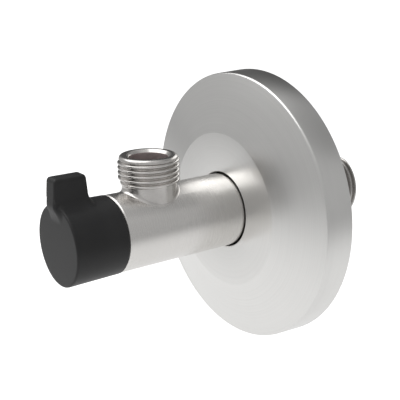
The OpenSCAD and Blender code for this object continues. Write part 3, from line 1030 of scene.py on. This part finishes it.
@dataclass
class LeverKnob(Piece):
    """The moulded knob with its lever, hub, ribs and stop lug.

    Sizes are in millimetres and places along the axis from the inlet end. lug_turn is in degrees.
    """

    form: KnobForm = field(default_factory=KnobForm)
    grain: float = 0.24
    core_z: float = 6.0
    over: float = 1.0
    skirt_r: float = 9.65
    web_at: float = 94.687
    hub_r: float = 5.3
    hub_at: float = 90.437
    socket_w: float = 5.7
    rib_n: int = 6
    rib_t: float = 1.2
    rib_h: float = 3.2
    rib_from: float = 4.0
    lug_r: float = 7.7
    lug_w: float = 3.0
    lug_end: float = 88.887
    lug_turn: float = 135.0

    def outside(self) -> Solid:
        """Roughs the knob out of two blocks, nets it evenly and settles it on its form."""
        f = self.form
        flared = f.rear_r + f.flare
        corners = [
            Corner(0, f.rear),
            Corner(f.rear_r, f.rear),
            Corner(flared, f.front, 0.4),
            Corner(0, f.front),
        ]
        obj = Bench.turn("lever_knob_moulding", corners, Axis.VALVE, 96, 3)
        size = (2 * f.lever_half, f.lever_front - f.lever_back, f.lever_top - self.core_z)
        centre = (0, -(f.lever_back + f.lever_front) / 2, (f.lever_top + self.core_z) / 2)
        Bench.cut(obj, Bench.block(size, centre, bevel=0.4, facets=2), Join.ADD)
        Bench.pick(obj)
        step = obj.modifiers.new("net", "REMESH")
        step.mode = "VOXEL"
        step.voxel_size = self.grain * MM
        bpy.ops.object.modifier_apply(modifier=step.name)
        Bench.shape(obj, f.settle)
        return obj

    def cavity(self) -> Solid:
        """The room inside the skirt, less hub, ribs and lug."""
        start = self.form.rear - self.over
        corners = [
            Corner(0, start),
            Corner(self.skirt_r, start),
            Corner(self.skirt_r, self.web_at, 0.3),
            Corner(self.hub_r, self.web_at, 0.3),
            Corner(self.hub_r, self.hub_at),
            Corner(0, self.hub_at),
        ]
        room = Bench.turn("room", corners, Axis.VALVE, 96, 2)
        inner, outer = self.rib_from, self.skirt_r + self.over
        for i in range(self.rib_n):
            size = (self.rib_t, self.rib_h + self.over, outer - inner)
            centre = (0, (self.rib_h - self.over) / 2 - self.web_at, (inner + outer) / 2)
            Bench.cut(room, Bench.block(size, centre, turn=math.tau * (i + 0.5) / self.rib_n))
        Bench.cut(room, self.lug())
        return room

    def lug(self) -> Solid:
        """The stop lug, which runs in the notch of the bonnet's head."""
        end = self.web_at + self.over
        high = self.skirt_r + 0.2 - self.lug_r
        size = (self.lug_w, end - self.lug_end, high)
        centre = (0, -(end + self.lug_end) / 2, self.lug_r + high / 2)
        return Bench.block(size, centre, turn=math.radians(self.lug_turn), bevel=0.15)

    def socket(self) -> Solid:
        """The square hole in the hub."""
        start = self.hub_at - self.over
        size = (self.socket_w, self.web_at - start, self.socket_w)
        return Bench.block(size, (0, -(self.web_at + start) / 2, 0), bevel=0.2)

    def build(self) -> None:
        """Builds and dresses the knob."""
        obj = self.outside()
        Bench.cut(obj, self.cavity())
        Bench.cut(obj, self.socket())
        self.finish(obj, "knob", "black_plastic", "plastic", ("lever_knob",), angle=50)


@dataclass
class WallFlange(Piece):
    """The thin turned rosette that hides the hole in the wall.

    Sizes are in millimetres and places along the axis from the inlet end.
    """

    wall_at: float = 31.7
    rim_r: float = 39.15
    rim_top_r: float = 38.8
    rim_top: float = 39.8
    slope_r: float = 38.2
    slope_at: float = 40.4
    corner_r: float = 38.79
    corner_at: float = 40.24
    centre_r: float = 22.25
    face_at: float = 44.8
    wall: float = 1.6
    hole_r: float = 10.92
    hole_edge: float = 0.24
    hub_r: float = 13.8
    hub_at: float = 38.5
    groove_r: float = 12.7
    groove_from: float = 40.2
    groove_to: float = 42.5

    def build(self) -> None:
        """Builds and dresses the flange."""
        t, flat, lip = self.wall, self.face_at, self.hole_edge
        obj = Bench.turn(
            "wall_rosette",
            [
                Corner(self.rim_r, self.wall_at, 0.2),
                Corner(self.corner_r, self.corner_at, 0.65),
                Corner(self.centre_r, flat, 0.7),
                Corner(self.hole_r + lip, flat, 0.06),
                Corner(self.hole_r, flat - lip, 0.06),
                Corner(self.hole_r, self.groove_to),
                Corner(self.groove_r, self.groove_to),
                Corner(self.groove_r, self.groove_from),
                Corner(self.hole_r, self.groove_from),
                Corner(self.hole_r, self.hub_at, 0.15),
                Corner(self.hub_r, self.hub_at, 0.15),
                Corner(self.hub_r, flat - t, 0.4),
                Corner(self.centre_r, flat - t, 0.8),
                Corner(self.slope_r - t, self.slope_at - t, 0.2),
                Corner(self.rim_top_r - t, self.rim_top - t, 0.2),
                Corner(self.rim_r - t, self.wall_at, 0.1),
            ],
            Axis.VALVE,
            256,
            4,
        )
        self.finish(obj, "flange", "brushed_flange", "flange", ("wall_flange",))


@dataclass
class InnerParts:
    """The CAD nodes that keep their shape and get a finish.

    Args:
        paint: the built finishes by name.
        painted: the nodes that get each finish.
    """

    paint: dict[str, Material]
    painted: tuple[tuple[str, tuple[str, ...]], ...] = (
        ("chrome", ("ball",)),
        ("seat", ("inlet_seat", "front_seat", "outlet_seat", "thrust_washer")),
        # the brass sleeve takes the darker bore tone, partly painted shade inside the hole
        ("bore", ("outlet_seat_sleeve",)),
        ("brass", ("bonnet", "stem")),
        ("rubber", ("bonnet_ring", "inner_stem_ring", "outer_stem_ring", "grip_ring")),
        ("tube", ("valve_body",)),
        ("plastic", ("lever_knob",)),
        ("flange", ("wall_flange",)),
    )

    def build(self) -> None:
        """Paints every CAD node."""
        for finish, names in self.painted:
            for name in names:
                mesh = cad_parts[name].data
                if not mesh.materials:
                    mesh.materials.append(None)
                for i in range(len(mesh.materials)):
                    mesh.materials[i] = self.paint[finish]
                LOG.info("%s painted %s", name, finish)


@dataclass(frozen=True)
class Lamp:
    """A soft lamp.

    Args:
        name: its name.
        at: its place in metres.
        size: its width and height in metres.
        watts: its power.
    """

    name: str
    at: TRIPLE
    size: LINE
    watts: float

    def hang(self, aim: TRIPLE) -> None:
        """Hangs the lamp so that it faces the point aim."""
        data = bpy.data.lights.new(self.name, "AREA")
        data.shape = "RECTANGLE"
        data.size, data.size_y = self.size
        data.energy = self.watts
        obj = bpy.data.objects.new(self.name, data)
        obj.location = self.at
        facing = Vector(aim) - Vector(self.at)
        obj.rotation_euler = facing.to_track_quat("-Z", "Y").to_euler()
        bpy.context.scene.collection.objects.link(obj)


@dataclass(frozen=True)
class Shade:
    """A soft dark place in the world.

    Args:
        side: the direction in which it lies.
        start: the cosine at its edge.
        full: the cosine where it is darkest.
        depth: how much light it takes away there.
    """

    side: TRIPLE
    start: float
    full: float
    depth: float


@dataclass
class Studio:
    """The floor, the lamps, the world and the camera.

    Args:
        floor_z: the floor's height in metres.
        eye: the camera's place in metres.
        azimuth: the camera's turn about the upright, in degrees.
        elevation: how far it looks down, in degrees.
        roll: its roll in degrees.
        lens: its focal length in millimetres.
        sensor: its sensor's width in millimetres.
        clip: the nearest and farthest distance that it sees, in metres.
        lift: light that the floor gives to the camera alone, so that it looks white.
        bright: light that the floor gives to reflections, inside a round patch.
        bright_at: the patch's middle in metres.
        near: where the patch starts to fade, in metres from its middle.
        far: where it has faded.
        base: the world's strength on the object.
        crown: what is added to it overhead.
        crown_from: the height at which that starts, as a sine.
        shades: the world's dark places.
        lamps: the soft lamps.
        aim: the point that the lamps face.
    """

    floor_z: float = -0.2
    eye: TRIPLE = (0.17813, -0.18123, 0.06999)
    azimuth: float = 54.136
    elevation: float = 16.687
    roll: float = -0.465
    lens: float = 73.07
    sensor: float = 36.0
    clip: LINE = (0.01, 50.0)
    lift: float = 0.75
    bright: float = 0.32
    bright_at: LINE = (-0.15, 0.12)
    near: float = 0.3
    far: float = 1.1
    base: float = 0.6
    crown: float = 0.2
    crown_from: float = 0.4
    shades: tuple[Shade, ...] = (
        Shade((-0.7, 0.6, 0.39), 0.68, 0.97, 0.5),
        Shade((0.25, 0.62, 0.74), 0.88, 0.99, 0.32),
    )
    lamps: tuple[Lamp, ...] = (
        Lamp("top_softbox", (-0.3, -0.4, 0.9), (1.2, 1.0), 5.2),
        Lamp("front_fill", (-0.8, -1.0, 1.0), (0.8, 0.6), 1.8),
    )
    aim: TRIPLE = (0, -0.05, 0)

    def camera(self) -> None:
        """Sets the camera at the photograph's angle."""
        az, el, ro = (math.radians(v) for v in (self.azimuth, self.elevation, self.roll))
        back = Vector((math.sin(az) * math.cos(el), -math.cos(az) * math.cos(el), math.sin(el)))
        right = Vector((math.cos(az), math.sin(az), 0))
        up = back.cross(right)
        rolled_right = right * math.cos(ro) + up * math.sin(ro)
        rolled_up = up * math.cos(ro) - right * math.sin(ro)
        data = bpy.data.cameras.new("photo_camera")
        data.lens = self.lens
        data.sensor_width = self.sensor
        data.clip_start, data.clip_end = self.clip
        cam = bpy.data.objects.new("photo_camera", data)
        turn = Matrix((rolled_right, rolled_up, back)).transposed().to_4x4()
        cam.matrix_world = Matrix.Translation(self.eye) @ turn
        bpy.context.scene.collection.objects.link(cam)
        bpy.context.scene.camera = cam

    def floor(self) -> None:
        """Lays a pale floor that looks white and keeps soft shadows."""
        Bench.clear()
        bpy.ops.mesh.primitive_plane_add(size=16, location=(0, 0, self.floor_z))
        obj = bpy.context.object
        obj.name = "floor"
        n = Nodes("pale_floor")
        n.shader.inputs["Roughness"].default_value = 0.9
        n.tint(n.noise(n.place, 6.0), (1, 1, 1), (0.8, 0.82))
        x, y, _ = n.split(n.place)
        middle_x, middle_y = self.bright_at
        away = n.length(n.sum("SUBTRACT", x, middle_x), n.sum("SUBTRACT", y, middle_y))
        patch = n.range(away, self.bright, 0.0, self.near, self.far, "SMOOTHSTEP")
        path = n.add("ShaderNodeLightPath").outputs
        glossy = n.sum("MULTIPLY", path["Is Glossy Ray"], patch)
        seen = n.sum("MULTIPLY", path["Is Camera Ray"], self.lift)
        lift = n.add("ShaderNodeEmission")
        n.join(n.sum("ADD", glossy, seen), lift.inputs["Strength"])
        both = n.add("ShaderNodeAddShader")
        n.join(n.shader.outputs["BSDF"], both.inputs[0])
        n.join(lift.outputs[0], both.inputs[1])
        n.join(both.outputs[0], n.output.inputs["Surface"])
        obj.data.materials.append(n.material)

    def world(self) -> None:
        """Makes a world that is white for the camera and softer for the object."""
        world = bpy.data.worlds.new("studio")
        bpy.context.scene.world = world
        world.use_nodes = True
        n = Graph(world.node_tree)
        out = n.add("ShaderNodeOutputWorld")
        white = n.add("ShaderNodeBackground")
        white.inputs["Strength"].default_value = 1.0
        white.inputs["Color"].default_value = (1, 1, 1, 1)
        soft = n.add("ShaderNodeBackground")
        toward = n.add("ShaderNodeTexCoord").outputs["Generated"]
        level: object = self.base
        for shade in self.shades:
            lobe = n.add("ShaderNodeVectorMath", operation="DOT_PRODUCT")
            lobe.inputs[1].default_value = shade.side
            n.join(toward, lobe.inputs[0])
            cosine = lobe.outputs["Value"]
            dark = n.range(cosine, 0.0, shade.depth, shade.start, shade.full, "SMOOTHSTEP")
            level = n.sum("SUBTRACT", level, dark)
        height = n.split(toward)[2]
        crown = n.range(height, 0.0, self.crown, self.crown_from, 1.0, "SMOOTHSTEP")
        n.join(n.sum("ADD", level, crown), soft.inputs["Strength"])
        mix = n.add("ShaderNodeMixShader")
        n.join(n.add("ShaderNodeLightPath").outputs["Is Camera Ray"], mix.inputs["Fac"])
        n.join(soft.outputs[0], mix.inputs[1])
        n.join(white.outputs[0], mix.inputs[2])
        n.join(mix.outputs[0], out.inputs["Surface"])

    def build(self) -> None:
        """Sets the whole studio."""
        self.camera()
        self.floor()
        self.world()
        for lamp in self.lamps:
            lamp.hang(self.aim)
        bpy.context.scene.view_settings.view_transform = "Standard"
        LOG.info("studio ready")


def main() -> None:
    """Builds the dressed valve piece by piece."""
    logging.basicConfig(level=logging.INFO, format="%(message)s")
    Studio().build()
    paint = Finishes().made()
    InnerParts(paint).build()
    ValveBody(paint).build()
    LeverKnob(paint).build()
    WallFlange(paint).build()


if __name__ == "__main__":
    main()
